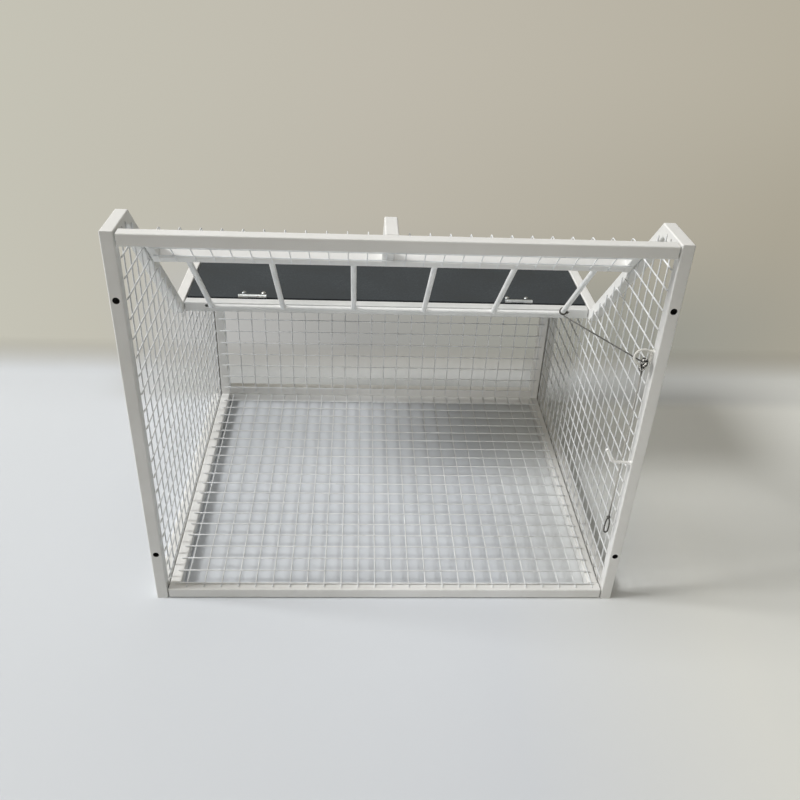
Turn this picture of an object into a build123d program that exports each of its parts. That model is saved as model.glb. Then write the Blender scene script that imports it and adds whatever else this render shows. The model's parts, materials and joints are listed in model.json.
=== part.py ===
from build123d import *
import math
import os

# Pigeon entry cage: welded square-tube panels with wire mesh, a swinging bar gate in the
# sloping entry, a hinged landing board behind it and a pull cord that opens the gate.
# Frame: origin at the middle of the footprint, +X right, +Y towards the landing board, +Z up.

# Overall sizes, in millimetres
width = 670.0
depth = 552.0
height = 560.0
flat_top = 72.0        # depth of the level top of each side panel
shelf_height = 331.0   # top of the rear part, level with the landing board

# Square tube and wire mesh
tube = 16.0
wall = 1.2
corner_radius = 1.8    # rounded outer edges of the tube
end_cap = 3.0
panel_gap = 2.0        # between the side panels and the panels they hold
mesh_wire = 2.0
mesh_pitch = 25.0
net_lap = 2.5          # side mesh over the inner edge of its tubes
smallest_gap = 40.0    # square millimetres, cut mesh openings below this stay closed

# Floor, roof and slope
floor_lift = 1.0
floor_first_wire = -292.0
floor_wire_pitch = 24.9
floor_row_pitch = 26.2
roof_drop = 2.0        # roof rail below the top of the posts
rib_x = -11.0
cross_rail_from = 106.0
cross_rail_to = cross_rail_from + tube
stile_from = 60.0
stile_width = 11.0

# Landing board and its hinges
board_thickness = 9.0
board_side_gap = 2.5
board_rest_gap = 0.3   # above the back panel
board_near_gap = 4.5   # board edge behind the hinge rail
hinge_places = {"left": -215.0, "right": 208.0}
hinge_length = 44.0
knuckle_radius = 3.0
knuckle_play = 0.3
pin_radius = 1.5
pin_play = 0.05
leaf_thickness = 1.5
leaf_reach = 26.0
bolt_spread = 15.5
bolt_reach = 19.5
bolt_head_radius = 3.6
bolt_head_rise = 2.0
bolt_radius = 1.5
nut_radius = 3.2
nut_height = 2.4

# Gate
bar_radius = 4.0
bar_spacing = 109.7
bars_middle = -0.6
gate_inset = 5.0 * math.sqrt(2.0)   # bar centres below the outer face of the slope
pivot_slope = 129.0
lower_rod_slope = 320.0
lower_rod_radius = 3.0
pivot_reach = 11.0                  # rod end inside the side tube

# Mounting holes, ring, hook and cord
mount_radius = 4.25
mount_low = 84.0
mount_high = 476.0
ring_radius = 10.5
ring_wire = 1.5
ring_post_gap = 1.0
ring_foot_rise = 8.5   # the foot leaves the ring near its top
ring_foot_radius = 1.8
ring_height = 408.0
ring_y = 11.0
hook_wire = 2.0
hook_height = 249.5
hook_y = 4.0
hook_leg = 26.0
hook_leg_rise = 2.5
hook_tip_reach = 36.0
hook_tip_rise = 22.0
hook_bend = 6.0
cord_radius = 1.1
cord_gap = 0.3
tie_slope = 313.5
drop_x = 307.5
loop_top = 150.0
loop_bottom = 123.0
loop_half_width = 2.7
knot_radius = 2.8
ring_knot_radius = 5.8
ring_knot_shift = 2.0

# Small drilled holes in the rails
rail_hole_x = 284.0
rail_hole_radius = 2.5
rail_hole_drop = 6.0
top_hole_places = (37.0, 52.0)
top_hole_radius = 1.8
top_hole_drop = 9.0

# Fixing studs between the side panels and the panels they hold
stud_radius = 2.5
stud_play = 0.05
stud_collar = 5.0
stud_reach = 8.0

# Worked-out places
half_width = width / 2
front = -depth / 2
back = depth / 2
inner_x = half_width - tube
panel_x = inner_x - panel_gap
slope_end = height - shelf_height + flat_top    # depth where the slope meets the shelf
floor_top = floor_lift + tube
roof_top = height - roof_drop
board_top = shelf_height
board_bottom = board_top - board_thickness
hinge_rail_back = front + slope_end + tube
pin_y = hinge_rail_back + knuckle_radius
pin_z = board_top + knuckle_radius
root_half = math.sqrt(0.5)

os.makedirs("parts", exist_ok=True)


def save(name, shape):
    export_step(shape, f"parts/{name}.step")


def slope_point(along, below):
    """Point (y, z) on the slope: distance down from the apex and depth below its outer face."""
    y = front + flat_top + root_half * (along - below)
    z = height - root_half * (along + below)
    return (y, z)


def prism(points, x_from, x_to):
    """Solid with an outline in the Y-Z plane, running along X."""
    outline = Wire.make_polygon([Vector(x_from, y, z) for y, z in points], close=True)
    return extrude(Face(outline), amount=x_to - x_from, dir=(1, 0, 0))


def block(x_from, x_to, y_from, y_to, z_from, z_to):
    corners = [(y_from, z_from), (y_to, z_from), (y_to, z_to), (y_from, z_to)]
    return prism(corners, x_from, x_to)


def rod(start, end, radius):
    axis = Vector(*end) - Vector(*start)
    return extrude(Plane(start, z_dir=axis) * Circle(radius), amount=axis.length)


def rounded(shape, direction):
    """Rounds the long edges of a tube that runs in a direction."""
    along = Vector(*direction).normalized()
    edges = [e for e in shape.edges() if abs((e @ 1 - e @ 0).normalized().dot(along)) > 0.999]
    return fillet(edges, corner_radius)


def box_tube(x_from, x_to, y_from, y_to, z_from, z_to):
    """Closed square tube along any axis, with thicker end caps where it is longest."""
    spans = [x_to - x_from, y_to - y_from, z_to - z_from]
    trims = [end_cap if span == max(spans) else wall for span in spans]
    tx, ty, tz = trims
    direction = [1 if span == max(spans) else 0 for span in spans]
    outside = rounded(block(x_from, x_to, y_from, y_to, z_from, z_to), direction)
    inside = block(x_from + tx, x_to - tx, y_from + ty, y_to - ty, z_from + tz, z_to - tz)
    return outside - inside


def inset(outline, distance):
    """Outline moved inwards; its points go round with the inside on their right."""
    moved = []
    for i, (y, z) in enumerate(outline):
        y0, z0 = outline[i - 1]
        y1, z1 = outline[(i + 1) % len(outline)]
        before = Vector(z - z0, y0 - y).normalized()
        after = Vector(z1 - z, y - y1).normalized()
        step = (before + after) * (distance / (1 + before.dot(after)))
        moved.append((y + step.X, z + step.Y))
    return moved


def clip(cell, outline):
    """Part of a mesh cell inside a convex outline whose inside is on its right."""
    kept = cell
    for i, (u0, v0) in enumerate(outline):
        u1, v1 = outline[(i + 1) % len(outline)]
        source = kept
        kept = []
        for j, (ua, va) in enumerate(source):
            ub, vb = source[(j + 1) % len(source)]
            side_a = (ua - u0) * (v1 - v0) - (va - v0) * (u1 - u0)
            side_b = (ub - u0) * (v1 - v0) - (vb - v0) * (u1 - u0)
            if side_a >= 0:
                kept.append((ua, va))
            if side_a * side_b < 0:
                share = side_a / (side_a - side_b)
                kept.append((ua + share * (ub - ua), va + share * (vb - va)))
    return kept


def area(points):
    total = 0.0
    for i, (u0, v0) in enumerate(points):
        u1, v1 = points[(i + 1) % len(points)]
        total += u0 * v1 - u1 * v0
    return abs(total) / 2


def net(plane, outline, u_wires, v_wires):
    """Flat wire mesh: a thin sheet with the openings between its wires."""
    def wire_loop(points):
        return Wire.make_polygon([plane.from_local_coords((u, v, 0)) for u, v in points], close=True)

    half_wire = mesh_wire / 2
    border = inset(outline, mesh_wire)
    openings = []
    for u0, u1 in zip(u_wires, u_wires[1:]):
        for v0, v1 in zip(v_wires, v_wires[1:]):
            low_u, high_u = u0 + half_wire, u1 - half_wire
            low_v, high_v = v0 + half_wire, v1 - half_wire
            cell = [(low_u, low_v), (low_u, high_v), (high_u, high_v), (high_u, low_v)]
            opening = clip(cell, border)
            if len(opening) > 2 and area(opening) > smallest_gap:
                openings.append(wire_loop(opening))
    sheet = Face(wire_loop(outline), openings)
    print("mesh openings", len(openings))
    return extrude(sheet, amount=mesh_wire, dir=plane.z_dir)


def rectangle(u_from, u_to, v_from, v_to):
    return [(u_from, v_from), (u_from, v_to), (u_to, v_to), (u_to, v_from)]


def wires(first, last, start, pitch):
    """Wire places from edge to edge, the inner ones at an even pitch."""
    places = [first]
    count = int((last - start) / pitch) + 1
    for i in range(count):
        place = start + i * pitch
        if place - first > pitch / 4 and last - place > pitch / 4:
            places.append(place)
    places.append(last)
    return places


# Side panels: six mitred tubes each, with holes for the studs and the gate pivot
side_outline = [
    (front, 0),
    (front, height),
    (front + flat_top, height),
    (front + slope_end, shelf_height),
    (back, shelf_height),
    (back, 0),
]
side_inner = inset(side_outline, tube)
void_outer = inset(side_outline, wall)
void_inner = inset(side_outline, tube - wall)
tube_names = ["front_post", "top_rail", "slope_rail", "shelf_rail", "rear_post", "bottom_rail"]
stile_middle = (stile_from + cross_rail_from) / 2
stud_places = [
    (front + tube / 2, roof_top - tube / 2),
    (front + tube / 2, floor_lift + tube / 2),
    (back - tube / 2, floor_lift + tube / 2),
    (hinge_rail_back - tube / 2, shelf_height - tube / 2),
    (back - tube / 2, board_bottom - tube / 2),
    slope_point(stile_middle, tube / 2),
]
pivot_y, pivot_z = slope_point(pivot_slope, gate_inset)
lower_y, lower_z = slope_point(lower_rod_slope, gate_inset)


def stud_bores(side):
    """Clearance holes for the studs of one side, through the walls on both sides of the gap."""
    bores = []
    for y, z in stud_places:
        start = (side * (panel_x - end_cap - wall), y, z)
        end = (side * (inner_x + 2 * wall), y, z)
        bores.append(rod(start, end, stud_radius + stud_play))
    return bores


def bored(shape, side):
    for bore in stud_bores(side):
        shape = shape - bore
    return shape


def side_tube(index, side):
    after = (index + 1) % len(side_outline)
    outside = [side_outline[index], side_outline[after], side_inner[after], side_inner[index]]
    inside = [void_outer[index], void_outer[after], void_inner[after], void_inner[index]]
    low, high = sorted((side * inner_x, side * half_width))
    (y0, z0), (y1, z1) = outside[0], outside[1]
    shape = rounded(prism(outside, low, high), (0, y1 - y0, z1 - z0))
    shape = shape - prism(inside, low + wall, high - wall)
    shape = bored(shape, side)
    if tube_names[index] == "front_post":
        for z in (mount_low, mount_high):
            x = side * (inner_x + tube / 2)
            shape = shape - rod((x, front - wall, z), (x, front + tube + wall, z), mount_radius)
    if tube_names[index] == "top_rail":
        z = height - top_hole_drop
        for place in top_hole_places:
            y = front + place
            start = (side * (inner_x - wall), y, z)
            shape = shape - rod(start, (side * (inner_x + 2 * wall), y, z), top_hole_radius)
    if tube_names[index] == "slope_rail":
        start = (side * (inner_x - wall), pivot_y, pivot_z)
        end = (side * (inner_x + 2 * wall), pivot_y, pivot_z)
        shape = shape - rod(start, end, bar_radius + pin_play)
    return shape


for side, label in ((-1, "left"), (1, "right")):
    for index, tube_name in enumerate(tube_names):
        save(f"{label}_{tube_name}", side_tube(index, side))

# Side meshes: on the inner faces of the panels, lapped over the edges of their tubes
side_border = inset(side_outline, tube - net_lap)


def side_nets(label, sheet_x, border):
    split_y = border[3][0]
    low_z = border[0][1]
    rows = wires(low_z, border[1][1], low_z + mesh_pitch / 2, mesh_pitch)
    front_outline = [border[0], border[1], border[2], border[3], (split_y, low_z)]
    rear_outline = [(split_y, low_z), border[3], border[4], border[5]]
    front_columns = wires(border[0][0], split_y, split_y - 11 * mesh_pitch, mesh_pitch)
    rear_columns = wires(split_y, border[4][0], split_y + mesh_pitch, mesh_pitch)
    sheet = Plane((sheet_x, 0, 0), x_dir=(0, 1, 0), z_dir=(1, 0, 0))
    save(f"{label}_front_net", net(sheet, front_outline, front_columns, rows))
    save(f"{label}_rear_net", net(sheet, rear_outline, rear_columns, rows))


side_nets("left", -inner_x, side_border)
side_nets("right", inner_x - mesh_wire, side_border)

# Floor panel: tube frame with two mesh sheets on top
floor_back = back
floor_levels = (floor_lift, floor_top)
floor_front_rail = box_tube(-panel_x, panel_x, front, front + tube, *floor_levels)
floor_back_rail = box_tube(-panel_x, panel_x, floor_back - tube, floor_back, *floor_levels)
save("floor_front_rail", bored(bored(floor_front_rail, -1), 1))
save("floor_back_rail", bored(bored(floor_back_rail, -1), 1))
for side, label in ((-1, "left"), (1, "right")):
    low, high = sorted((side * (panel_x - tube), side * panel_x))
    save(f"floor_{label}_rail", box_tube(low, high, front + tube, floor_back - tube, *floor_levels))

net_edge = panel_x - tube / 2
floor_net_front = front + tube / 2
floor_net_back = floor_back - tube - tube / 2
floor_net_middle = (floor_net_front + floor_net_back) / 2
floor_columns = wires(-net_edge, net_edge, floor_first_wire, floor_wire_pitch)
floor_plane = Plane((0, 0, floor_top))
for label, low, high in (
    ("front", floor_net_front, floor_net_middle),
    ("rear", floor_net_middle, floor_net_back),
):
    rows = wires(low, high, low + floor_row_pitch, floor_row_pitch)
    outline = rectangle(-net_edge, net_edge, low, high)
    save(f"floor_{label}_net", net(floor_plane, outline, floor_columns, rows))

# Back panel: stands on the floor panel's rear rail, its mesh on the inner face
back_top = board_bottom - board_rest_gap
back_span = (back - tube, back)
for side, label in ((-1, "left"), (1, "right")):
    low, high = sorted((side * (panel_x - tube), side * panel_x))
    save(f"back_{label}_stile", bored(box_tube(low, high, *back_span, floor_top, back_top), side))
rail_end = panel_x - tube
save("back_bottom_rail", box_tube(-rail_end, rail_end, *back_span, floor_top, floor_top + tube))
save("back_top_rail", box_tube(-rail_end, rail_end, *back_span, back_top - tube, back_top))
back_plane = Plane((0, back - tube, 0), x_dir=(1, 0, 0), z_dir=(0, -1, 0))
back_low = floor_top + tube / 2
back_high = back_top - tube / 2
back_columns = wires(-net_edge, net_edge, -11.5 * mesh_pitch, mesh_pitch)
back_rows = wires(back_low, back_high, back_low + mesh_pitch, mesh_pitch)
back_outline = rectangle(-net_edge, net_edge, back_low, back_high)
save("back_net", net(back_plane, back_outline, back_columns, back_rows))

# Roof: front rail, rib in two mitred legs, cross rail on the slope, stiles beside it
roof_rail = box_tube(-panel_x, panel_x, front, front + tube, roof_top - tube, roof_top)
save("roof_front_rail", bored(bored(roof_rail, -1), 1))


def rib_leg(outer_from, outer_to, inner_to, inner_from):
    corners = [outer_from, outer_to, inner_to, inner_from]
    hollow = [inner_from, outer_from, outer_to, inner_to]
    shape = prism(corners, rib_x - tube / 2, rib_x + tube / 2)
    (y0, z0), (y1, z1) = outer_from, outer_to
    shape = rounded(shape, (0, y1 - y0, z1 - z0))
    core = prism(inset(hollow, wall), rib_x - tube / 2 + wall, rib_x + tube / 2 - wall)
    return shape - core


rib_apex = (front + flat_top + roof_drop, roof_top)
inner_offset = tube * math.sqrt(2.0)
rib_corner = (front + flat_top + height - inner_offset - (roof_top - tube), roof_top - tube)
rib_start = (front + tube, roof_top)
rib_start_low = (front + tube, roof_top - tube)
rib_foot = slope_point(cross_rail_from, 0)
rib_foot_low = slope_point(cross_rail_from, tube)
save("roof_rib_top", rib_leg(rib_start, rib_apex, rib_corner, rib_start_low))
save("roof_rib_slope", rib_leg(rib_apex, rib_foot, rib_foot_low, rib_corner))


def slope_bar(x_from, x_to, along_from, along_to):
    """Hollow bar lying in the slope, flush with its outer face."""
    corners = [(along_from, 0), (along_to, 0), (along_to, tube), (along_from, tube)]
    direction = (1, 0, 0) if x_to - x_from > tube else (0, root_half, -root_half)
    outside = rounded(prism([slope_point(*c) for c in corners], x_from, x_to), direction)
    hollow = [
        (along_from + wall, wall),
        (along_to - wall, wall),
        (along_to - wall, tube - wall),
        (along_from + wall, tube - wall),
    ]
    return outside - prism([slope_point(*c) for c in hollow], x_from + wall, x_to - wall)


cross_end = panel_x - stile_width
save("slope_cross_rail", slope_bar(-cross_end, cross_end, cross_rail_from, cross_rail_to))
for side, label in ((-1, "left"), (1, "right")):
    low, high = sorted((side * cross_end, side * panel_x))
    stile = slope_bar(low, high, stile_from, cross_rail_to)
    save(f"slope_{label}_stile", bored(stile, side))

# Roof mesh: a level sheet under the front rail and a sloping one under the rib and cross rail
roof_edge = panel_x - stile_width / 2
roof_plane = Plane((0, 0, roof_top - tube - mesh_wire))
roof_net_front = front + tube / 2
roof_net_back = rib_corner[0] - mesh_wire
roof_columns = wires(-roof_edge, roof_edge, -12 * mesh_pitch, mesh_pitch)
roof_rows = wires(roof_net_front, roof_net_back, roof_net_back - mesh_pitch * 2, mesh_pitch)
roof_outline = rectangle(-roof_edge, roof_edge, roof_net_front, roof_net_back)
save("roof_top_net", net(roof_plane, roof_outline, roof_columns, roof_rows))

slope_net_from = 11.0
slope_net_to = (cross_rail_from + cross_rail_to) / 2
slope_origin = slope_point(0, tube)
slope_plane = Plane(
    (0, *slope_origin),
    x_dir=(1, 0, 0),
    z_dir=(0, -root_half, -root_half),
)
slope_rows = wires(slope_net_from, slope_net_to, slope_net_from + mesh_pitch, mesh_pitch)
down_sign = 1 if slope_plane.y_dir.Z < 0 else -1
slope_lines = sorted(down_sign * row for row in slope_rows)
slope_outline = rectangle(-roof_edge, roof_edge, slope_lines[0], slope_lines[-1])
save("roof_slope_net", net(slope_plane, slope_outline, roof_columns, slope_lines))

# Hinge rail at the foot of the slope
hinge_rail = box_tube(
    -panel_x, panel_x, hinge_rail_back - tube, hinge_rail_back, shelf_height - tube, shelf_height
)
for x in (-rail_hole_x, rail_hole_x):
    z = shelf_height - rail_hole_drop
    start = (x, hinge_rail_back - tube - wall, z)
    end = (x, hinge_rail_back - tube + 2 * wall, z)
    hinge_rail = hinge_rail - rod(start, end, rail_hole_radius)
save("hinge_rail", bored(bored(hinge_rail, -1), 1))

# Landing board with through holes for the hinge bolts
board_edge = inner_x - board_side_gap
board_near = hinge_rail_back + board_near_gap
board_far = back - panel_gap
bolt_y = pin_y + bolt_reach
bolt_places = {
    label: [middle - bolt_spread, middle + bolt_spread] for label, middle in hinge_places.items()
}
foot_low = board_bottom - leaf_thickness
board = block(-board_edge, board_edge, board_near, board_far, board_bottom, board_top)
for x in bolt_places["left"] + bolt_places["right"]:
    board = board - rod((x, bolt_y, board_bottom), (x, bolt_y, board_top), bolt_radius + pin_play)
save("landing_board", board)

# Butt hinges: the fixed leaf on the rail's back face, the moving leaf bent round under the board
leaf_half = hinge_length / 2
centre_half = hinge_length / 6


def leaf_with_knuckles(plate, spans, relief):
    shape = plate
    for low, high in spans:
        shape = shape + rod((low, pin_y, pin_z), (high, pin_y, pin_z), knuckle_radius)
    for low, high in relief:
        clearance = knuckle_radius + knuckle_play
        shape = shape - rod((low, pin_y, pin_z), (high, pin_y, pin_z), clearance)
    ends = (spans[0][0] - 1, spans[-1][1] + 1)
    bore = rod((ends[0], pin_y, pin_z), (ends[1], pin_y, pin_z), pin_radius + pin_play)
    return shape - bore


def hinge_bolt(x):
    """Bolt with a domed head on the board and a nut under the leaf's foot."""
    dome_radius = (bolt_head_radius**2 + bolt_head_rise**2) / (2 * bolt_head_rise)
    dome = Location((x, bolt_y, board_top + bolt_head_rise - dome_radius)) * Sphere(dome_radius)
    reach = 2 * bolt_head_radius
    head_room = block(x - reach, x + reach, bolt_y - reach, bolt_y + reach, board_top, board_top + reach)
    shank = rod((x, bolt_y, foot_low - nut_height), (x, bolt_y, board_top), bolt_radius)
    nut_plane = Plane((x, bolt_y, foot_low - nut_height))
    nut = extrude(nut_plane * RegularPolygon(nut_radius, 6), amount=nut_height, dir=(0, 0, 1))
    return (dome & head_room) + shank + nut


bolts = []
for label, middle in hinge_places.items():
    low, high = middle - leaf_half, middle + leaf_half
    centre_low, centre_high = middle - centre_half, middle + centre_half
    fixed_spans = [(low, centre_low - knuckle_play), (centre_high + knuckle_play, high)]
    moving_spans = [(centre_low, centre_high)]
    fixed_plate = block(
        low, high, hinge_rail_back, hinge_rail_back + leaf_thickness, shelf_height - tube + 1, pin_z
    )
    fixed_relief = [(centre_low - knuckle_play, centre_high + knuckle_play)]
    fixed_leaf = leaf_with_knuckles(fixed_plate, fixed_spans, fixed_relief)
    save(f"hinge_{label}_fixed_leaf", fixed_leaf)
    web = block(low, high, board_near - leaf_thickness, board_near, foot_low, pin_z)
    foot = block(low, high, board_near - leaf_thickness, pin_y + leaf_reach, foot_low, board_bottom)
    moving_relief = [(low - 1, centre_low), (centre_high, high + 1)]
    moving_leaf = leaf_with_knuckles(web + foot, moving_spans, moving_relief)
    for x in bolt_places[label]:
        bore = rod((x, bolt_y, foot_low), (x, bolt_y, board_bottom), bolt_radius + pin_play)
        moving_leaf = moving_leaf - bore
        bolts.append(hinge_bolt(x))
    save(f"hinge_{label}_moving_leaf", moving_leaf)
    save(f"hinge_{label}_pin", rod((low, pin_y, pin_z), (high, pin_y, pin_z), pin_radius))
save("hinge_screws", Compound(bolts))

# Gate: bars coped onto an upper pivot rod and a lower rod
pivot_end = inner_x + pivot_reach
pivot_rod = rod((-pivot_end, pivot_y, pivot_z), (pivot_end, pivot_y, pivot_z), bar_radius)
bar_places = [bars_middle + (i - 2.5) * bar_spacing for i in range(6)]
rod_ends = (bar_places[0] - bar_radius, bar_places[-1] + bar_radius)
lower_rod = rod((rod_ends[0], lower_y, lower_z), (rod_ends[1], lower_y, lower_z), lower_rod_radius)
save("gate_pivot_rod", pivot_rod)
save("gate_lower_rod", lower_rod)
for i, x in enumerate(bar_places):
    bar = rod((x, pivot_y, pivot_z), (x, lower_y, lower_z), bar_radius)
    save(f"gate_bar_{i + 1}", bar - pivot_rod - lower_rod)

# Guide ring and cord hook on the right front post
ring_x = inner_x - ring_radius - ring_wire - ring_post_gap
ring_centre = (ring_x, front + ring_y, ring_height)
ring = Location(ring_centre) * Rot(90, 0, 0) * Torus(ring_radius, ring_wire)
foot_x = ring_x + math.sqrt(ring_radius**2 - ring_foot_rise**2)
foot_line = (front + ring_y, ring_height + ring_foot_rise)
ring_foot = rod((foot_x, *foot_line), (inner_x, *foot_line), ring_foot_radius)
save("guide_ring", ring + ring_foot)

hook_points = [
    (inner_x, front + hook_y, hook_height),
    (inner_x - hook_leg, front + hook_y, hook_height + hook_leg_rise),
    (inner_x - hook_tip_reach, front + hook_y, hook_height + hook_tip_rise),
]
hook_path = FilletPolyline(*hook_points, radius=hook_bend)
hook_section = Plane(hook_points[0], z_dir=(-1, 0, 0)) * Circle(hook_wire)
save("cord_hook", sweep(hook_section, path=hook_path))

# Pull cord: tied round the last bar, taut to the ring, over its lower wire and straight down
tie_y, tie_z = slope_point(tie_slope, gate_inset)
tie_radius = bar_radius + cord_radius + cord_gap
tie_plane = Plane((bar_places[-1], tie_y, tie_z), z_dir=(0, root_half, -root_half))
save("cord_tie", tie_plane * Torus(tie_radius, cord_radius))

run_y, run_z = slope_point(tie_slope, gate_inset + tie_radius + 2 * cord_radius)
run_start = (bar_places[-1] + cord_radius, run_y, run_z)
wire_y = front + ring_y
wire_z = ring_height - math.sqrt(ring_radius**2 - (drop_x - ring_x) ** 2)
wrap = ring_wire + cord_radius + cord_gap

# The cord turns over the ring's wire in two equal corners of the ring wire's own size
run_angle = math.atan2(wire_z + wrap - run_z, run_y - wire_y)
corner_turn = (math.pi / 2 + run_angle) / 2
corner_reach = wrap / math.cos(corner_turn / 2)
corners = []
for turn in (corner_turn * 1.5, corner_turn * 0.5):
    y = wire_y - corner_reach * math.cos(turn)
    z = wire_z + corner_reach * math.sin(turn)
    corners.append((drop_x, y, z))
run_line = Vector(*corners[0]) - Vector(*run_start)
run_end = tuple(Vector(*corners[0]) - run_line.normalized() * (2 * wrap))
loop_y = wire_y - wrap
drop_end = (drop_x, loop_y, loop_top + cord_radius)


def cord_tube(points, radii):
    """Round cord along straight runs and tangent arcs, with its volume check."""
    path = FilletPolyline(*points, radius=radii) if radii else Line(*points)
    heading = Vector(*points[1]) - Vector(*points[0])
    solid = sweep(Plane(points[0], z_dir=heading) * Circle(cord_radius), path=path)
    expected = math.pi * cord_radius**2 * path.length
    print("cord length", round(path.length, 1), "radii", radii, "volume ratio", solid.volume / expected)
    return solid


save("cord_run", cord_tube([run_start, run_end], []))
cord_bend = 0.95 * wrap
cord_drop = cord_tube([run_end, *corners, drop_end], [cord_bend, cord_bend])
save("cord_drop", cord_drop)
knot_x = drop_x + ring_knot_shift
ball = Location((knot_x, front + ring_knot_radius, wire_z)) * Sphere(ring_knot_radius)
knot_room = block(knot_x - tube, knot_x + tube, front, loop_y, wire_z - tube, wire_z + tube)
save("cord_ring_knot", (ball & knot_room) - cord_drop)

loop_centre_low = loop_bottom + cord_radius + loop_half_width
loop_centre_high = loop_top - cord_radius - loop_half_width
left_x, right_x = drop_x - loop_half_width, drop_x + loop_half_width
left_low = (left_x, loop_y, loop_centre_low)
left_high = (left_x, loop_y, loop_centre_high)
right_low = (right_x, loop_y, loop_centre_low)
right_high = (right_x, loop_y, loop_centre_high)
loop_path = Wire(
    [
        Line(left_low, left_high),
        ThreePointArc(left_high, (drop_x, loop_y, loop_centre_high + loop_half_width), right_high),
        Line(right_high, right_low),
        ThreePointArc(right_low, (drop_x, loop_y, loop_centre_low - loop_half_width), left_low),
    ]
)
cord_loop = sweep(Plane(left_low, z_dir=(0, 0, 1)) * Circle(cord_radius), path=loop_path)
end_knot = Location(drop_end) * Sphere(knot_radius)
save("cord_loop", cord_loop + end_knot - cord_drop)

# Studs that hold the panels to the sides, each with a collar that fills the gap
studs = []
for side in (-1, 1):
    for y, z in stud_places:
        inward = (side * (panel_x - end_cap), y, z)
        outward = (side * (inner_x + stud_reach), y, z)
        collar = rod((side * panel_x, y, z), (side * inner_x, y, z), stud_collar)
        studs.append(rod(inward, outward, stud_radius) + collar)
save("panel_studs", Compound(studs))
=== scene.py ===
import json
import math

import bpy
from mathutils import Matrix, Vector


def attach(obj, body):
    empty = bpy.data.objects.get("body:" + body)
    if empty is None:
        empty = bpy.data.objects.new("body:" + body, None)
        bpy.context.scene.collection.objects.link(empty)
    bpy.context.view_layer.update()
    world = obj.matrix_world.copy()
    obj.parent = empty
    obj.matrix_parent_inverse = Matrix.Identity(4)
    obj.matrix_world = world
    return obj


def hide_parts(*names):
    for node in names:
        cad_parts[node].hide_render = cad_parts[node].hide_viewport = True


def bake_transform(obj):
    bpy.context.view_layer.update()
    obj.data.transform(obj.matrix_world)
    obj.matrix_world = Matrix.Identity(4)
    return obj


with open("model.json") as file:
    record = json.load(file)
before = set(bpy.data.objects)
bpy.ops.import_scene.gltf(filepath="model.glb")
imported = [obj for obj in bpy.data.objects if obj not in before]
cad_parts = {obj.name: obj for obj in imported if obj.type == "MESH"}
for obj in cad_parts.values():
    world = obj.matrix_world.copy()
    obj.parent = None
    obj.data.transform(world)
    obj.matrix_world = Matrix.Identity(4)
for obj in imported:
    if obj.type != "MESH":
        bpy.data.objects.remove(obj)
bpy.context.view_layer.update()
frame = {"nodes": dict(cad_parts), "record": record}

nodes = frame["nodes"]
mm = 0.001
cage = {"front": -276.0, "high": 560.0, "levelTop": 72.0, "tube": 16.0, "roofStep": 2.0}  # millimetres
frontY = cage["front"] * mm  # plane of the open front
print("frame loaded:", len(nodes), "nodes")


def clearSelection():
    if bpy.context.object and bpy.context.object.mode != "OBJECT":
        bpy.ops.object.mode_set(mode="OBJECT")
    bpy.ops.object.select_all(action="DESELECT")


def pick(*pieces):
    clearSelection()
    for piece in pieces:
        piece.select_set(True)
    bpy.context.view_layer.objects.active = pieces[0]


def named(name):
    piece = bpy.context.object
    piece.name = name
    piece.data.name = name
    return piece


def settle(piece):
    pick(piece)
    bpy.ops.object.transform_apply(location=True, rotation=True, scale=True)
    return piece


def applied(piece, kind, **settings):
    pick(piece)
    modifier = piece.modifiers.new(kind.lower(), kind)
    for key, value in settings.items():
        setattr(modifier, key, value)
    bpy.ops.object.modifier_apply(modifier=modifier.name)
    return piece


def repeated(piece, count, step):
    return applied(
        piece, "ARRAY", count=count, use_relative_offset=False,
        use_constant_offset=True, constant_offset_displace=step,
    )


def joined(name, *pieces):
    pick(*pieces)
    if len(pieces) > 1:
        bpy.ops.object.join()
    return named(name)


def copied(piece, shift):
    double = piece.copy()
    double.data = piece.data.copy()
    bpy.context.scene.collection.objects.link(double)
    double.data.transform(Matrix.Translation(shift))
    return double


def editAll(piece):
    pick(piece)
    bpy.ops.object.mode_set(mode="EDIT")
    bpy.ops.mesh.select_all(action="SELECT")


def editSome(piece, parts, test):
    # edit mode with only those faces or edges selected that pass the test
    pick(piece)
    bpy.ops.object.mode_set(mode="EDIT")
    bpy.ops.mesh.select_all(action="DESELECT")
    bpy.ops.object.mode_set(mode="OBJECT")
    for part in parts:
        part.select = test(part)
    bpy.ops.object.mode_set(mode="EDIT")


def facedOutwards(piece):
    editAll(piece)
    bpy.ops.mesh.normals_make_consistent(inside=False)
    bpy.ops.object.mode_set(mode="OBJECT")
    return piece


def pulledOut(piece, shift):
    editAll(piece)
    bpy.ops.mesh.extrude_region_move(TRANSFORM_OT_translate={"value": shift})
    return facedOutwards(piece)


def smoothed(piece, degrees):
    pick(piece)
    bpy.ops.object.shade_smooth_by_angle(angle=math.radians(degrees))
    return piece


def hexColor(code):
    parts = [int(code[i:i + 2], 16) / 255 for i in (1, 3, 5)]
    linear = [c / 12.92 if c <= 0.04045 else ((c + 0.055) / 1.055) ** 2.4 for c in parts]
    return (*linear, 1.0)


def wired(tree, made, inputs):
    # values and links of a node; a node given as a source means its first output
    for socket, source in inputs.items():
        if isinstance(source, bpy.types.Node):
            source = source.outputs[0]
        if isinstance(source, bpy.types.NodeSocket):
            tree.links.new(source, made.inputs[socket])
        else:
            made.inputs[socket].default_value = source
    return made


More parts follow.
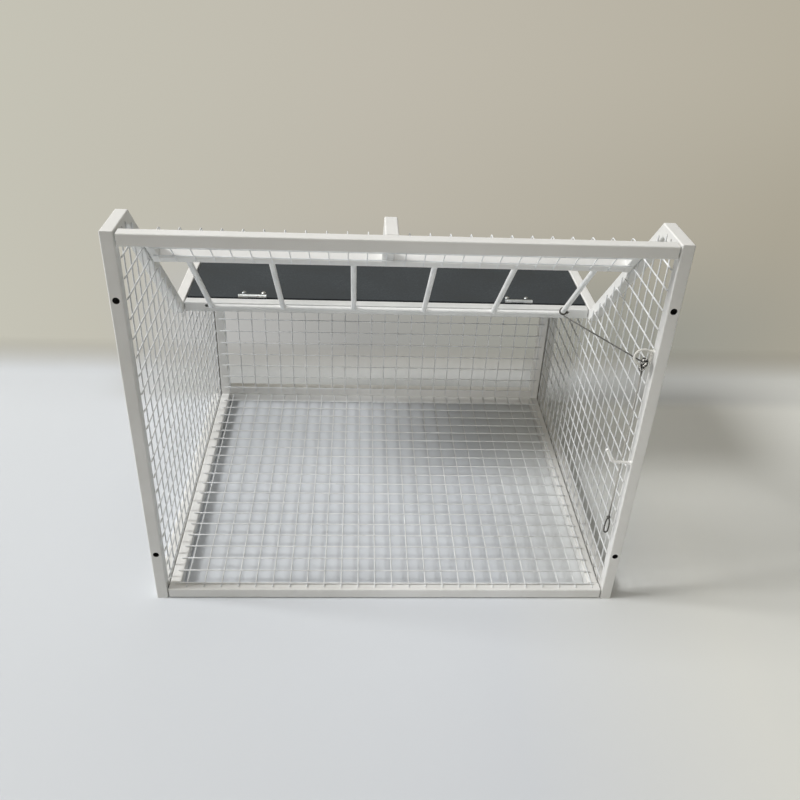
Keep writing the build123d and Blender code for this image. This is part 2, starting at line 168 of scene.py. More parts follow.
def node(tree, kind, inputs, stops=(), **settings):
    made = tree.nodes.new(kind)
    for key, value in settings.items():
        setattr(made, key, value)
    for _ in stops[2:]:
        made.color_ramp.elements.new(1.0)  # a ramp starts with two stops
    for index, (spot, code) in enumerate(stops):
        made.color_ramp.elements[index].position = spot
        made.color_ramp.elements[index].color = hexColor(code)
    return wired(tree, made, inputs)


def newFinish(name):
    material = bpy.data.materials.new(name)
    material.use_nodes = True
    tree = material.node_tree
    place = node(tree, "ShaderNodeTexCoord", {}).outputs["Object"]
    return material, tree, tree.nodes["Principled BSDF"], place


def spansAlong(tree, place, spans):
    # one mask for each span, from 0 to 1 between two places on an axis, in millimetres
    split = node(tree, "ShaderNodeSeparateXYZ", {"Vector": place})
    masks = {}
    for name, (axis, start, stop, way) in spans.items():
        masks[name] = node(tree, "ShaderNodeMapRange", {
            "Value": split.outputs[axis], "From Min": start * mm, "From Max": stop * mm,
        }, interpolation_type=way)
    return masks


# White polyester powder coat on steel tube, sprayed and baked: satin, with a fine orange peel
# and faint warm clouds where the film is thinner. The peel is drawn at 2.5 to 4 mm so that it shows.
tubeCoat = {"thin": "#E4E4E1", "full": "#ECECEA", "cloudMm": 140, "peelMm": 4.0, "peelDeep": 0.05}
# Galvanised wire, welded and dipped in white: a slightly grey film that runs thin along the drawn wire.
wireCoat = {"thin": "#DFE1E2", "full": "#ECEEEF", "cloudMm": 22, "peelMm": 3.0, "peelDeep": 0.06}
# Round rod of the gate under the same white: cooler and smoother.
rodCoat = {"thin": "#E2E4E4", "full": "#EFF0EF", "cloudMm": 60, "peelMm": 3.5, "peelDeep": 0.04}
# The rail that the birds step over: the same white, greyed as painted shade.
railShadeCoat = {"thin": "#CDCFCE", "full": "#DADBDA", "cloudMm": 70, "peelMm": 4.0, "peelDeep": 0.05}
# Ring and hook: bent wire with a thick bright coat that gathers in the bends. The hook's coat is a lighter
# copy, as painted light on the hook.
ringCoat = {"thin": "#DFDED8", "full": "#EDECE7", "cloudMm": 9, "peelMm": 2.5, "peelDeep": 0.06}
hookCoat = {"thin": "#F5F5F2", "full": "#FBFBF9", "cloudMm": 9, "peelMm": 2.5, "peelDeep": 0.06}
# What all the white coats share.
coatFilm = {"thinTo": 0.35, "fullFrom": 0.62, "peelShow": 0.35, "glossy": 0.36, "satin": 0.48, "ior": 1.5}


def powderCoat(name, look, film):
    material, tree, shader, place = newFinish(name)
    cloud = node(tree, "ShaderNodeTexNoise", {
        "Vector": place, "Scale": 1 / (look["cloudMm"] * mm), "Detail": 3.0, "Roughness": 0.6})
    tint = node(tree, "ShaderNodeValToRGB", {"Fac": cloud}, stops=(
        (film["thinTo"], look["thin"]), (film["fullFrom"], look["full"])))
    peel = node(tree, "ShaderNodeTexNoise", {
        "Vector": place, "Scale": 1 / (look["peelMm"] * mm), "Detail": 1.0})
    bump = node(tree, "ShaderNodeBump", {
        "Strength": film["peelShow"], "Distance": look["peelDeep"] * mm, "Height": peel})
    gloss = node(tree, "ShaderNodeMapRange", {
        "Value": cloud, "To Min": film["glossy"], "To Max": film["satin"]})
    wired(tree, shader, {"Base Color": tint, "Roughness": gloss, "Normal": bump, "IOR": film["ior"]})
    return material


# Zinc-plated steel: bright grey, clouded bluish and yellowish by the passivation,
# with fine rolling lines along the leaf, drawn at 1.6 mm. On the barrels alone a painted highlight
# lightens the top, and a painted shade darkens the underside.
zincLook = {
    "dull": "#8F9395", "dullTo": 0.3, "bright": "#BCBFC0", "brightAt": 0.5,
    "straw": "#AFADA4", "strawFrom": 0.72, "cloudMm": 11,
    "lineMm": 1.6, "lineStretch": 0.06, "lineDeep": 0.05, "lineShow": 0.25,
    # the last two colours are the barrels' painted highlight and painted shade
    "glossy": 0.26, "satin": 0.46, "paintedHighlight": "#DDE2E4", "paintedShade": "#1E2021",
    "spans": {
        "barrel": ("Y", 50.0, 49.0, "SMOOTHSTEP"), "upper": ("Z", 333.8, 335.4, "SMOOTHSTEP"),
        "lower": ("Z", 333.6, 332.2, "SMOOTHSTEP"), "aboveLeaf": ("Z", 328.1, 329.5, "SMOOTHSTEP"),
    },
}


def zincPlate(look):
    material, tree, shader, place = newFinish("zincPlatedSteel")
    cloud = node(tree, "ShaderNodeTexNoise", {
        "Vector": place, "Scale": 1 / (look["cloudMm"] * mm), "Detail": 4.0, "Roughness": 0.65})
    tint = node(tree, "ShaderNodeValToRGB", {"Fac": cloud}, stops=(
        (look["dullTo"], look["dull"]), (look["brightAt"], look["bright"]),
        (look["strawFrom"], look["straw"])))
    masks = spansAlong(tree, place, look["spans"])
    # painted highlight along the top of each barrel
    highlightMask = node(tree, "ShaderNodeMath", {0: masks["upper"], 1: masks["barrel"]}, operation="MULTIPLY")
    highlighted = node(tree, "ShaderNodeMixRGB", {
        "Fac": highlightMask, "Color1": tint, "Color2": hexColor(look["paintedHighlight"])})
    # painted shade on the underside of each barrel, above the leaf
    under = node(tree, "ShaderNodeMath", {0: masks["lower"], 1: masks["aboveLeaf"]}, operation="MULTIPLY")
    shadeMask = node(tree, "ShaderNodeMath", {0: under, 1: masks["barrel"]}, operation="MULTIPLY")
    barrelShaded = node(tree, "ShaderNodeMixRGB", {
        "Fac": shadeMask, "Color1": highlighted, "Color2": hexColor(look["paintedShade"])})
    stretch = node(tree, "ShaderNodeMapping", {"Vector": place, "Scale": (look["lineStretch"], 1.0, 1.0)})
    line = node(tree, "ShaderNodeTexNoise", {
        "Vector": stretch, "Scale": 1 / (look["lineMm"] * mm), "Detail": 2.0})
    bump = node(tree, "ShaderNodeBump", {
        "Strength": look["lineShow"], "Distance": look["lineDeep"] * mm, "Height": line})
    gloss = node(tree, "ShaderNodeMapRange", {
        "Value": cloud, "To Min": look["glossy"], "To Max": look["satin"]})
    wired(tree, shader, {"Base Color": barrelShaded, "Roughness": gloss, "Normal": bump, "Metallic": 1.0})
    return material


# Dark grey PVC board, pressed between matt plates: a fine pebble in the skin, drawn at 2.5 mm,
# pale dust and scuffs that the birds' feet leave.
boardLook = {
    "skin": "#262C31", "skinTo": 0.12, "wearAndLightTone": "#2F363C", "wornAt": 0.3, "dust": "#40464A", "dustFrom": 0.5,
    "cloudMm": 90, "pebbleMm": 2.5, "pebbleDeep": 0.1, "pebbleShow": 0.4, "glossy": 0.5, "matt": 0.68,
}


def boardSkin(look):
    material, tree, shader, place = newFinish("pressedGreyPvcBoard")
    cloud = node(tree, "ShaderNodeTexNoise", {
        "Vector": place, "Scale": 1 / (look["cloudMm"] * mm), "Detail": 5.0, "Roughness": 0.6})
    pebble = node(tree, "ShaderNodeTexNoise", {
        "Vector": place, "Scale": 1 / (look["pebbleMm"] * mm), "Detail": 2.0})
    both = node(tree, "ShaderNodeMath", {0: cloud, 1: pebble}, operation="MULTIPLY")
    tint = node(tree, "ShaderNodeValToRGB", {"Fac": both}, stops=(
        (look["skinTo"], look["skin"]), (look["wornAt"], look["wearAndLightTone"]), (look["dustFrom"], look["dust"])))
    bump = node(tree, "ShaderNodeBump", {
        "Strength": look["pebbleShow"], "Distance": look["pebbleDeep"] * mm, "Height": pebble})
    gloss = node(tree, "ShaderNodeMapRange", {
        "Value": cloud, "To Min": look["glossy"], "To Max": look["matt"]})
    wired(tree, shader, {"Base Color": tint, "Roughness": gloss, "Normal": bump})
    return material


# Braided polyester cord: dark grey yarn with a few paler ends. The middle of the stretch that hangs
# straight down below the ring is painted paler, as painted light. The yarn is drawn at 0.7 mm so that it
# shows.
yarnLook = {"yarnMm": 0.7, "yarnDeep": 0.15, "yarnShow": 0.5, "rough": 0.82, "sheen": 0.25}
cordLook = {
    **yarnLook, "dark": "#2C2C2B", "darkTo": 0.38, "mid": "#4A4946", "midAt": 0.5,
    # the last two entries give the hanging drop its painted light: a pale tone and how much of it is mixed
    # in
    "pale": "#77756F", "paleFrom": 0.62, "fleckMm": 3.2, "wearAndLightTone": "#BDBCB6", "paintedLightShare": 0.85,
    "spans": {
        "above": ("Z", 150, 190, "SMOOTHSTEP"), "below": ("Z", 388, 378, "SMOOTHSTEP"),
        "hanging": ("Y", -262, -264, "SMOOTHSTEP"),
    },
}
# The knot at the ring shows the black and the white yarn ends of the same braid side by side.
knotLook = {
    **yarnLook, "dark": "#121212", "darkTo": 0.50, "mid": "#5A5855", "midAt": 0.535,
    "pale": "#F8F7F2", "paleFrom": 0.57, "fleckMm": 3.6,
}


def braid(name, look):
    material, tree, shader, place = newFinish(name)
    fleck = node(tree, "ShaderNodeTexNoise", {
        "Vector": place, "Scale": 1 / (look["fleckMm"] * mm), "Detail": 2.0, "Roughness": 0.7})
    tint = node(tree, "ShaderNodeValToRGB", {"Fac": fleck}, stops=(
        (look["darkTo"], look["dark"]), (look["midAt"], look["mid"]), (look["paleFrom"], look["pale"])))
    # painted light: the middle of the cord's hanging drop is mixed towards a pale tone
    if "wearAndLightTone" in look:
        masks = spansAlong(tree, place, look["spans"])
        reach = node(tree, "ShaderNodeMath", {0: masks["above"], 1: masks["below"]}, operation="MULTIPLY")
        litDrop = node(tree, "ShaderNodeMath", {0: reach, 1: masks["hanging"]}, operation="MULTIPLY")
        share = node(tree, "ShaderNodeMath", {0: litDrop, 1: look["paintedLightShare"]}, operation="MULTIPLY")
        tint = node(tree, "ShaderNodeMixRGB", {
            "Fac": share, "Color1": tint, "Color2": hexColor(look["wearAndLightTone"])})
    yarn = node(tree, "ShaderNodeTexNoise", {
        "Vector": place, "Scale": 1 / (look["yarnMm"] * mm), "Detail": 1.0})
    bump = node(tree, "ShaderNodeBump", {
        "Strength": look["yarnShow"], "Distance": look["yarnDeep"] * mm, "Height": yarn})
    wired(tree, shader, {
        "Base Color": tint, "Normal": bump, "Roughness": look["rough"], "Sheen Weight": look["sheen"]})
    return material


# Inside of the tube, never coated: bare rolled steel, dull, with faint rust clouds, darkened to near black
# as painted shade for the dark inside of the tube.
bareLook = {
    "scale": "#0E0E0E", "scaleTo": 0.4, "rust": "#1A1512", "rustFrom": 0.7, "cloudMm": 6,
    "rough": 0.75, "shine": 0.2,
}


def bareSteel(look):
    material, tree, shader, place = newFinish("bareSteelPaintedShade")
    cloud = node(tree, "ShaderNodeTexNoise", {
        "Vector": place, "Scale": 1 / (look["cloudMm"] * mm), "Detail": 3.0})
    tint = node(tree, "ShaderNodeValToRGB", {"Fac": cloud}, stops=(
        (look["scaleTo"], look["scale"]), (look["rustFrom"], look["rust"])))
    wired(tree, shader, {
        "Base Color": tint, "Roughness": look["rough"], "Specular IOR Level": look["shine"]})
    return material


finishes = {
    "frame_tube": powderCoat("whitePowderCoatedTube", tubeCoat, coatFilm),
    "mesh_wire": powderCoat("whiteDippedWeldedWire", wireCoat, coatFilm),
    "gate_steel": powderCoat("whiteCoatedSteelRod", rodCoat, coatFilm),
    "ring_steel": powderCoat("thickCoatedWire", ringCoat, coatFilm),
    "zinc_steel": zincPlate(zincLook),
    "board": boardSkin(boardLook),
    "cord": braid("braidedPolyesterCord", cordLook),
}
lighterWireFinish = powderCoat("lighterCoatedWire", hookCoat, coatFilm)
railShadeFinish = powderCoat("shadeGreyedPowderCoatedTube", railShadeCoat, coatFilm)
knotFinish = braid("mottledCordKnot", knotLook)
for entry in frame["record"]["subparts"]:
    part = nodes[entry["node"]]
    if not part.material_slots:
        part.data.materials.append(None)
    for place in part.material_slots:
        place.material = finishes[entry["material_slot"]]
# the hook takes the lighter copy of the coat, as painted light
nodes["cord_hook"].material_slots[0].material = lighterWireFinish
# the hinge rail takes the greyer copy of the coat, as painted shade
nodes["hinge_rail"].material_slots[0].material = railShadeFinish
print("materials set on", len(nodes), "nodes")


def dress(piece, slot, body):
    piece.data.materials.clear()
    piece.data.materials.append(finishes[slot])
    if body:
        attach(piece, body)
    return piece


# Welded mesh: two layers of round wire, sunk 0.2 mm into each other where they cross
meshWire = {"radius": 0.8, "layerStep": 1.4, "sides": 10, "chamfer": 0.3, "smooth": 50}


def wireDisc(start, along, at):
    clearSelection()
    bpy.ops.mesh.primitive_circle_add(
        vertices=at["sides"], radius=at["radius"] * mm, fill_type="NGON", location=start,
        rotation=Vector(along).to_track_quat("Z", "Y").to_euler())
    return settle(bpy.context.object)


def wire(start, end, at):
    # a disc pulled out to the wire's length, with both cut ends chamfered
    along = Vector(end) - Vector(start)
    piece = pulledOut(wireDisc(start, along, at), along)
    editSome(piece, piece.data.polygons, lambda face: len(face.vertices) == at["sides"])
    chamfer = at["radius"] * at["chamfer"] * mm
    bpy.ops.mesh.inset(thickness=chamfer, depth=chamfer, use_individual=True)
    bpy.ops.object.mode_set(mode="OBJECT")
    return piece


def wireRow(start, end, count, step):
    return repeated(wire(start, end, meshWire), count, step)


def meshPiece(name, stands, *layers):
    piece = smoothed(joined(name, *layers), meshWire["smooth"])
    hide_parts(*stands)
    return dress(piece, "mesh_wire", "cage")


def cutAway(piece, point, outward):
    # everything on the outward side of a plane goes, and the cut wires are closed
    editAll(piece)
    bpy.ops.mesh.bisect(plane_co=point, plane_no=outward, use_fill=True, clear_outer=True)
    bpy.ops.object.mode_set(mode="OBJECT")
    return piece


def slopePoint(along, below):
    # millimetres down the slope from its apex and below its outer face
    half = math.sqrt(0.5)
    y = frontY + cage["levelTop"] * mm + half * (along - below) * mm
    z = cage["high"] * mm - half * (along + below) * mm
    return Vector((0.0, y, z))


slopeOut = Vector((0.0, 1.0, 1.0)).normalized()
slopeDown = Vector((0.0, 1.0, -1.0)).normalized()

# In the meshes' dictionaries y is counted from the open front, except near and far of the back.
floorMesh = {
    "firstX": -292.0, "pitchX": 24.9, "countX": 25, "fromY": 5.0, "toY": 533.0, "low": 17.8,
    "firstRow": 11.0, "pitchRow": 26.2, "countRow": 20, "halfRow": 309.0, "high": 19.2,
}


def buildFloorMesh(at):
    x, y0, y1 = at["firstX"] * mm, frontY + at["fromY"] * mm, frontY + at["toY"] * mm
    low, high = at["low"] * mm, at["high"] * mm
    lengthwise = wireRow((x, y0, low), (x, y1, low), at["countX"], (at["pitchX"] * mm, 0, 0))
    y, half = frontY + at["firstRow"] * mm, at["halfRow"] * mm
    across = wireRow((-half, y, high), (half, y, high), at["countRow"], (0, at["pitchRow"] * mm, 0))
    return meshPiece("floorMesh", ("floor_front_net", "floor_rear_net"), lengthwise, across)


backMesh = {
    "firstX": -299.2, "pitchX": 25.2, "countX": 25, "fromZ": 22.0, "toZ": 316.0, "far": 259.2,
    "firstRow": 34.0, "pitchRow": 25.0, "countRow": 12, "halfRow": 310.0, "near": 257.8,
}


def buildBackMesh(at):
    x, z0, z1 = at["firstX"] * mm, at["fromZ"] * mm, at["toZ"] * mm
    near, far = at["near"] * mm, at["far"] * mm
    upright = wireRow((x, far, z0), (x, far, z1), at["countX"], (at["pitchX"] * mm, 0, 0))
    z, half = at["firstRow"] * mm, at["halfRow"] * mm
    across = wireRow((-half, near, z), (half, near, z), at["countRow"], (0, 0, at["pitchRow"] * mm))
    return meshPiece("backMesh", ("back_net",), upright, across)


sideMesh = {
    "upright": 318.0, "firstY": 26.0, "pitchY": 25.0, "countY": 21, "lowZ": 6.0, "highZ": 552.0,
    "row": 316.6, "firstZ": 31.5, "pitchZ": 26.0, "countZ": 20, "fromY": 9.0, "toY": 530.0,
    "uprightDeep": 10.0, "rowDeep": 17.5, "shelfUpright": 318.0, "shelfRow": 312.0,
}


def buildSideMesh(name, side, at, *stands):
    # uprights against the tubes, rows on their inner side; side is -1 on the left and 1 on the right
    x, rowX = side * at["upright"] * mm, side * at["row"] * mm
    y, low, high = frontY + at["firstY"] * mm, at["lowZ"] * mm, at["highZ"] * mm
    upright = wireRow((x, y, low), (x, y, high), at["countY"], (0, at["pitchY"] * mm, 0))
    y0, y1, z = frontY + at["fromY"] * mm, frontY + at["toY"] * mm, at["firstZ"] * mm
    across = wireRow((rowX, y0, z), (rowX, y1, z), at["countZ"], (0, 0, at["pitchZ"] * mm))
    trimmed = []
    for layer, deep, shelf in ((upright, at["uprightDeep"], at["shelfUpright"]),
                               (across, at["rowDeep"], at["shelfRow"])):
        # the front part follows the slope, the rear part stops under the shelf
        rear = copied(layer, (0, 0, 0))
        meet = slopePoint(0, deep)
        splitY = meet.y + meet.z - shelf * mm
        cutAway(layer, meet, slopeOut)
        cutAway(layer, (0, splitY, 0), (0, 1, 0))
        cutAway(rear, (0, splitY, 0), (0, -1, 0))
        cutAway(rear, (0, 0, shelf * mm), (0, 0, 1))
        trimmed += [layer, rear]
    return meshPiece(name, stands, facedOutwards(joined(name, *trimmed)))


roofMesh = {
    "firstX": -285.0, "pitchX": 24.74, "countX": 24, "fromY": 5.0, "bendDeep": 17.0,
    "bendRadius": 5.0, "bendSteps": 3, "slopeTo": 114.0, "halfRow": 310.0, "rowDeep": 18.7,
    "levelRows": (16.0, 41.0), "slopeRows": (18.5, 43.5, 68.5, 93.5),
}


def buildRoofMesh(at):
    level = (cage["high"] - cage["roofStep"] - cage["tube"] - meshWire["radius"]) * mm
    x, y0 = at["firstX"] * mm, frontY + at["fromY"] * mm
    # a wire is pulled back level, turned down by the bend's 45 degrees and pulled down the slope
    turn = math.radians(45)
    face = slopePoint(0, at["bendDeep"])
    bendY = face.y + (face.z - level)
    bend = at["bendRadius"] * mm
    reach = bend * math.tan(turn / 2)
    column = wireDisc((x, y0, level), (0, 1, 0), meshWire)
    editAll(column)
    bpy.ops.mesh.extrude_region_move(TRANSFORM_OT_translate={"value": (0, bendY - reach - y0, 0)})
    for _ in range(at["bendSteps"]):
        bpy.ops.mesh.extrude_region_move()
        bpy.ops.transform.rotate(
            value=turn / at["bendSteps"], orient_axis="X", center_override=(x, bendY - reach, level - bend))
    tip = Vector((0, bendY, level)) + slopeDown * reach
    bpy.ops.mesh.extrude_region_move(
        TRANSFORM_OT_translate={"value": slopePoint(at["slopeTo"], at["bendDeep"]) - tip})
    repeated(facedOutwards(column), at["countX"], (at["pitchX"] * mm, 0, 0))
    half, under = at["halfRow"] * mm, level - meshWire["layerStep"] * mm
    spots = [Vector((0, frontY + y * mm, under)) for y in at["levelRows"]]
    spots += [slopePoint(along, at["rowDeep"]) for along in at["slopeRows"]]
    rows = [wire((-half, spot.y, spot.z), (half, spot.y, spot.z), meshWire) for spot in spots]
    return meshPiece("roofMesh", ("roof_top_net", "roof_slope_net"), column, *rows)


buildFloorMesh(floorMesh)
buildBackMesh(backMesh)
buildSideMesh("leftMesh", -1, sideMesh, "left_front_net", "left_rear_net")
buildSideMesh("rightMesh", 1, sideMesh, "right_front_net", "right_rear_net")
buildRoofMesh(roofMesh)
print("wire meshes built")

holeLining = {
    "radius": 4.22, "sides": 32, "wall": 0.35, "smooth": 50,
    "x": 327.0, "low": 84.0, "high": 476.0, "from": 0.3, "to": 15.7,
}


def buildHoleLinings(at):
    # a circle pulled through the post, given a wall and set in each of the four bolt holes; its near-black
    # lining is partly painted shade in the hole
    clearSelection()
    bpy.ops.mesh.primitive_circle_add(
        vertices=at["sides"], radius=at["radius"] * mm, rotation=(math.radians(90), 0, 0),
        location=(-at["x"] * mm, frontY + at["from"] * mm, at["low"] * mm))
    first = pulledOut(settle(bpy.context.object), (0, (at["to"] - at["from"]) * mm, 0))
    applied(first, "SOLIDIFY", thickness=at["wall"] * mm, offset=-1.0)
    across, up = 2 * at["x"] * mm, (at["high"] - at["low"]) * mm
    others = [copied(first, (x, 0, z)) for x, z in ((across, 0), (0, up), (across, up))]
    piece = smoothed(joined("boltHoleLinings", first, *others), at["smooth"])
    dress(piece, "frame_tube", "cage")
    # near-black bare steel, partly painted shade inside the hole
    piece.data.materials[0] = bareSteel(bareLook)
    return piece


weldBeads = {
    "face": 319.0, "flat": 0.55, "squat": 0.9, "rough": 0.12, "subdivisions": 3, "smooth": 60,
    "spots": ((-265.0, 416.5, 3.3), (-272.0, 249.5, 3.6)),
}


def buildWeldBeads(at):
    # a bead is a small ball pressed flat on the post and cut off behind the post's face
    beads = []
    for y, z, radius in at["spots"]:
        clearSelection()
        bpy.ops.mesh.primitive_ico_sphere_add(
            subdivisions=at["subdivisions"], radius=radius * mm,
            location=(at["face"] * mm, y * mm, z * mm))
        bead = bpy.context.object
        bead.scale = (at["flat"], 1.0, at["squat"])
        cutAway(settle(bead), (at["face"] * mm, 0, 0), (1, 0, 0))
        editAll(bead)
        bpy.ops.transform.vertex_random(offset=at["rough"] * mm, seed=len(beads) + 1)
        bpy.ops.object.mode_set(mode="OBJECT")
        beads.append(bead)
    piece = smoothed(joined("weldBeads", *beads), at["smooth"])
    dress(piece, "ring_steel", "cage")
    piece.data.materials[0] = lighterWireFinish
    return piece


buildHoleLinings(holeLining)
buildWeldBeads(weldBeads)
print("bolt holes lined, weld beads set")


# Pull cord: tied to the last bar, taut to the ring, over its wire and straight down to its loop
cordSize = {"radius": 1.1, "sides": 12, "plaitMm": 1.6, "plaitHigh": 0.12, "curveSteps": 24, "smooth": 70}
pullCord = {
    **cordSize,
    "route": (
        (274.75, 7.30, 327.95),
        (305.98, -252.96, 397.40),
        (307.50, -265.63, 400.78),
        (307.50, -267.90, 399.04),
        (307.50, -267.90, 385.80),
        (307.50, -267.90, 151.10),
    ),
}


def splineLine(name, points, at, closed=False):
    # the smooth line of a NURBS spline through its route, as points in order
    curve = bpy.data.curves.new(name, "CURVE")
    curve.dimensions = "3D"
    spline = curve.splines.new("NURBS")
    spline.points.add(len(points) - 1)
    for point, spot in zip(spline.points, points):
        point.co = (*[c * mm for c in spot], 1.0)
    spline.order_u = 3
    spline.use_endpoint_u = not closed
    spline.use_cyclic_u = closed
    spline.resolution_u = at["curveSteps"]
    holder = bpy.data.objects.new(name, curve)
    bpy.context.scene.collection.objects.link(holder)
    bpy.context.view_layer.update()
    line = bpy.data.meshes.new_from_object(holder)
    spots = [v.co.copy() for v in line.vertices]
    bpy.data.objects.remove(holder)
    bpy.data.curves.remove(curve)
    bpy.data.meshes.remove(line)
    return spots


def evenly(spots, at, closed=False):
    # the same line in even steps of half a plait
    if closed:
        spots = spots + [spots[0]]
    lengths = [0.0]
    for a, b in zip(spots, spots[1:]):
        lengths.append(lengths[-1] + (b - a).length)
    count = max(2, round(lengths[-1] / (at["plaitMm"] * mm / 2)))
    even, index = [], 0
    for i in range(count + (0 if closed else 1)):
        goal = lengths[-1] * i / count
        while index < len(lengths) - 2 and lengths[index + 1] < goal:
            index += 1
        span = max(lengths[index + 1] - lengths[index], 1e-9)
        even.append(spots[index].lerp(spots[index + 1], min(1.0, (goal - lengths[index]) / span)))
    return even


def plaitedTube(name, spots, at, closed=False):
    # a ring of points round each step of the line; the plaits stand out in crossing helices
    high, low = at["radius"] * mm, (at["radius"] - at["plaitHigh"]) * mm
    sides, count = at["sides"], len(spots)
    verts, faces = [], []
    side = None
    for i, spot in enumerate(spots):
        before = spots[i - 1] if closed or i else spot
        after = spots[(i + 1) % count] if closed or i < count - 1 else spot
        along = (after - before).normalized()
        side = along.orthogonal() if side is None else side - along * side.dot(along)
        side.normalize()
        other = along.cross(side)
        for k in range(sides):
            turn = math.tau * k / sides
            out = high if (i + k) % 2 else low
            verts.append(spot + (side * math.cos(turn) + other * math.sin(turn)) * out)
    for i in range(count if closed else count - 1):
        ring, following = i * sides, ((i + 1) % count) * sides
        for k in range(sides):
            beside = (k + 1) % sides
            faces.append((ring + k, ring + beside, following + beside, following + k))
    if not closed:
        faces.append(tuple(reversed(range(sides))))
        faces.append(tuple(range((count - 1) * sides, count * sides)))
    mesh = bpy.data.meshes.new(name)
    mesh.from_pydata([tuple(v) for v in verts], [], faces)
    piece = bpy.data.objects.new(name, mesh)
    bpy.context.scene.collection.objects.link(piece)
    return smoothed(facedOutwards(piece), at["smooth"])


cordSpots = evenly(splineLine("pullCordRoute", pullCord["route"], pullCord), pullCord)
cord = plaitedTube("pullCord", cordSpots, pullCord)

# half of the loop, from its top to its foot: millimetres from the middle, and height
endLoop = {
    **cordSize, "x": 307.5, "y": -267.9,
    "half": ((1.0, 151.0), (2.61, 144.0), (3.335, 132.6), (2.32, 123.6)),
}


def buildLoop(at):
    route = [(at["x"] - out, at["y"], z) for out, z in at["half"]]
    route += [(at["x"] + out, at["y"], z) for out, z in reversed(at["half"])]
    spots = evenly(splineLine("endLoopRoute", route, at, closed=True), at, closed=True)
    return plaitedTube("cordEndLoop", spots, at, closed=True)


knotSize = {**cordSize, "radius": 1.25, "steps": 96}
ringKnotting = {
    **knotSize, "size": 4.2, "tall": 2.3, "place": (306.8, -270.2, 400.9), "lean": 8, "spins": (0, 60, 120)}
endKnotting = {
    **knotSize, "size": 1.9, "tall": 1.2, "place": (307.5, -267.9, 151.2), "lean": -25, "spins": (-25,)}


def buildKnot(name, at):
    # overhand knots on one spot: each line crosses itself three times round a small eye
    turns = []
    for spin in at["spins"]:
        turned = Matrix.Rotation(math.radians(at["lean"]), 3, "Y")
        turned = turned @ Matrix.Rotation(math.radians(spin), 3, "Z")
        line = []
        for i in range(at["steps"]):
            t = math.tau * i / at["steps"]
            x = (math.sin(t) + 2 * math.sin(2 * t)) / 3
            y = -math.sin(3 * t) / 2
            z = (math.cos(t) - 2 * math.cos(2 * t)) / 3 * at["tall"]
            line.append((turned @ Vector((x, y, z)) * at["size"] + Vector(at["place"])) * mm)
        turns.append(plaitedTube(name, evenly(line, at, closed=True), at, closed=True))
    return joined(name, *turns)


tieWrap = {
    **cordSize, "turns": 2, "step": 2.3, "round": 5.2, "tilt": 0.4, "steps": 40,
    "x": 273.65, "along": 313.5, "below": 5 * math.sqrt(2),
}


def buildTie(at):
    # turns of the cord round the last bar, each closed on itself beside the next
    centre = slopePoint(at["along"], at["below"]) + Vector((at["x"] * mm, 0, 0))
    across = Vector((1, 0, 0))
    out = slopeDown.cross(across)
    pieces = []
    for turn in range(at["turns"]):
        shift = (turn - (at["turns"] - 1) / 2) * at["step"]
        line = []
        for i in range(at["steps"]):
            t = math.tau * i / at["steps"]
            aside = shift + at["tilt"] * math.sin(t + turn)
            spoke = (across * math.cos(t) + out * math.sin(t)) * at["round"]
            line.append(centre + (slopeDown * aside + spoke) * mm)
        pieces.append(plaitedTube(f"tieTurn{turn}", evenly(line, at, closed=True), at, closed=True))
    return joined("cordTie", *pieces)


loop = buildLoop(endLoop)
ringKnot = buildKnot("cordRingKnot", ringKnotting)
endKnot = buildKnot("cordEndKnot", endKnotting)
tie = buildTie(tieWrap)
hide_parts("cord_loop")
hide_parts("cord_ring_knot")
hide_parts("cord_tie")
for piece in (loop, ringKnot, endKnot):
    dress(piece, "cord", "cage")
dress(tie, "cord", "gate")
ringKnot.data.materials[0] = knotFinish
dress(cord, "cord", None)
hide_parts("cord_run", "cord_drop")
# measured level, so that the whole drop below the ring stays with the cage
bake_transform(cord)


backdrop = {
    "wallY": 0.405, "reach": 3.4, "nearY": -2.6, "high": 1.4, "cove": 0.05, "coveSteps": 8,
    "near": 0.01, "smooth": 40,
}
# Matt paper: cool floor, warmer wall that is lit apart from the object. Painted light and shade: the floor
# is painted lighter to the right, the wall's glow is painted dimmer to the right and low down, and a
# painted shadow darkens the floor and wall behind the cage.
paperLook = {
    "floorLeft": "#D8DCE0", "floorMiddle": "#D6DADF", "floorRight": "#E7E8E3", "floorShadow": "#BEC0BF",
    "wall": "#CDC8BD", "rough": 0.9, "shine": 0.1,
    "seenLeft": "#C5C3B6", "seenMiddle": "#BBB6A9", "seenRight": "#ABA595",
    "highLeft": "#C6C4B7", "highMiddle": "#BFBAAD", "highRight": "#B4AE9E",
    "wallShadowLeft": "#BDBDBB", "wallShadowMiddle": "#9F9F9C", "wallShadowRight": "#98988F",
    "spans": {
        "wall": ("Z", 2, 60, "LINEAR"), "across": ("X", -800, 800, "LINEAR"),
        "cage": ("X", -400, 400, "LINEAR"),
        "fromLeft": ("X", -600, -380, "SMOOTHSTEP"), "fromRight": ("X", 1150, 500, "SMOOTHSTEP"),
        "shadowStrip": ("Y", 240, 300, "SMOOTHSTEP"), "foot": ("Z", 360, 60, "SMOOTHSTEP"),
        "high": ("Z", 300, 660, "SMOOTHSTEP"),
    },
}


